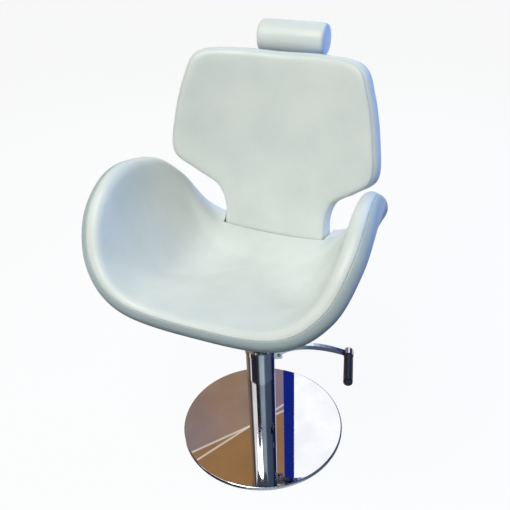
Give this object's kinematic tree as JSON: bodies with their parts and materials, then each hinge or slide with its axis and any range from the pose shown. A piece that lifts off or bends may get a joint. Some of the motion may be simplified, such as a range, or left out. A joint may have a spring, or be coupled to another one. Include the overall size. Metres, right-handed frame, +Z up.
{
  "type": "hydraulic barber chair",
  "caption": "Upholstered tub chair with winged sides, reclining shield back and roll headrest, on a pump-lift swivel column with a round floor disc.",
  "frame": {"origin": "on the floor, at the centre of the floor mat's underside, on the column's axis", "axes": "+Z up along the column, -Y towards the front of the seat, +X towards the side with the pump lever; metres"},
  "size_m": [0.6908, 0.6943, 1.1833],
  "materials": {
    "white_vinyl": "satin off-white upholstery vinyl",
    "chrome": "polished",
    "ram_chrome": "hard chrome",
    "zinc": "zinc plated",
    "cast_block": "machined iron",
    "black_steel": "black powder coat",
    "gas_black": "black gloss paint",
    "black_rubber": "matte",
    "mat_rubber": "matte",
    "grip_cap": "matte",
    "knob_plastic": "matte",
    "nylon": "natural",
    "plywood": "raw beech ply"
  },
  "bodies": {
    "base": {"floor_mat": "mat_rubber", "base_disc": "chrome", "foot_bolts": "zinc", "column_foot": "zinc", "column_sleeve": "chrome", "column_collar": "chrome", "gland_wiper": "black_rubber", "pump_head": "zinc", "pump_cylinder": "zinc", "pump_block": "cast_block", "lever_bracket": "chrome", "lever_pin": "zinc"},
    "pump_lever": {"pump_lever_arm": "chrome", "toe_pin": "zinc", "pedal_boss": "chrome", "pedal_rod": "zinc", "pedal_grip": "black_rubber", "pedal_cap": "grip_cap"},
    "pump_plunger": {"pump_plunger": "zinc"},
    "ram": {"lift_ram": "ram_chrome", "ram_piston": "nylon", "swivel_washer": "nylon"},
    "seat": {"seat_hub": "black_steel", "seat_plate": "black_steel", "seat_rails": "black_steel", "seat_bolts": "zinc", "tub_cover": "white_vinyl", "tub_pan": "plywood", "tub_pad": "white_vinyl", "hinge_plates": "black_steel", "hinge_pins": "zinc", "gas_anchor": "black_steel", "gas_front_pin": "zinc", "release_bearings": "black_steel"},
    "gas_cylinder": {"gas_cylinder": "gas_black"},
    "gas_rod": {"gas_rod": "ram_chrome"},
    "release": {"release_shaft": "zinc", "release_handle": "black_steel", "release_knob": "knob_plastic"},
    "back": {"back_board": "plywood", "back_pad": "white_vinyl", "back_cover": "white_vinyl", "back_brackets": "chrome", "back_screws": "zinc", "cross_tube": "chrome", "hinge_bushes": "nylon", "recline_crank": "chrome", "gas_rear_pin": "zinc", "headrest_guide": "black_steel", "guide_screws": "zinc"},
    "headrest": {"headrest_bar": "chrome", "headrest_core": "plywood", "headrest_pad": "white_vinyl"}
  },
  "joints": [
    {"name": "lift", "type": "slide", "parent": "base", "child": "ram", "axis": [0, 0, 1], "range_m": [-0.12, 0.06]},
    {"name": "swivel", "type": "hinge", "parent": "ram", "child": "seat", "pos_m": [0, 0, 0.514], "axis": [0, 0, 1], "continuous": true},
    {"name": "pump_lever", "type": "hinge", "parent": "base", "child": "pump_lever", "pos_m": [0.04811, 0.02452, 0.298], "axis": [-0.454, 0.891, 0], "range_deg": [0, 20], "stiffness_Nm_per_rad": 3, "springref_deg": -34.38},
    {"name": "pump_stroke", "type": "slide", "parent": "base", "child": "pump_plunger", "axis": [0, 0, 1], "range_m": [0, 0.0075]},
    {"name": "recline", "type": "hinge", "parent": "seat", "child": "back", "pos_m": [0, 0.198, 0.6], "axis": [-1, 0, 0], "range_deg": [0, 35]},
    {"name": "gas_swing", "type": "hinge", "parent": "seat", "child": "gas_cylinder", "pos_m": [0.057, -0.035, 0.55864], "axis": [1, 0, 0], "range_deg": [-0.1, 0.6]},
    {"name": "gas_stroke", "type": "slide", "parent": "gas_cylinder", "child": "gas_rod", "axis": [0, -1, 0], "range_m": [0, 0.0255]},
    {"name": "release", "type": "hinge", "parent": "seat", "child": "release", "pos_m": [0.15, -0.086, 0.544], "axis": [-1, 0, 0], "range_deg": [0, 20], "stiffness_Nm_per_rad": 2, "springref_deg": -17.19},
    {"name": "headrest_height", "type": "slide", "parent": "back", "child": "headrest", "axis": [0, 0.1011, 0.9949], "range_m": [0, 0.09]}
  ],
  "couplings": [
    {"joint": "pump_stroke", "follows": "pump_lever", "m_per_rad": 0.0203},
    {"joint": "gas_swing", "follows": "recline", "ratio": 0.0148},
    {"joint": "gas_stroke", "follows": "recline", "m_per_rad": 0.041}
  ]
}
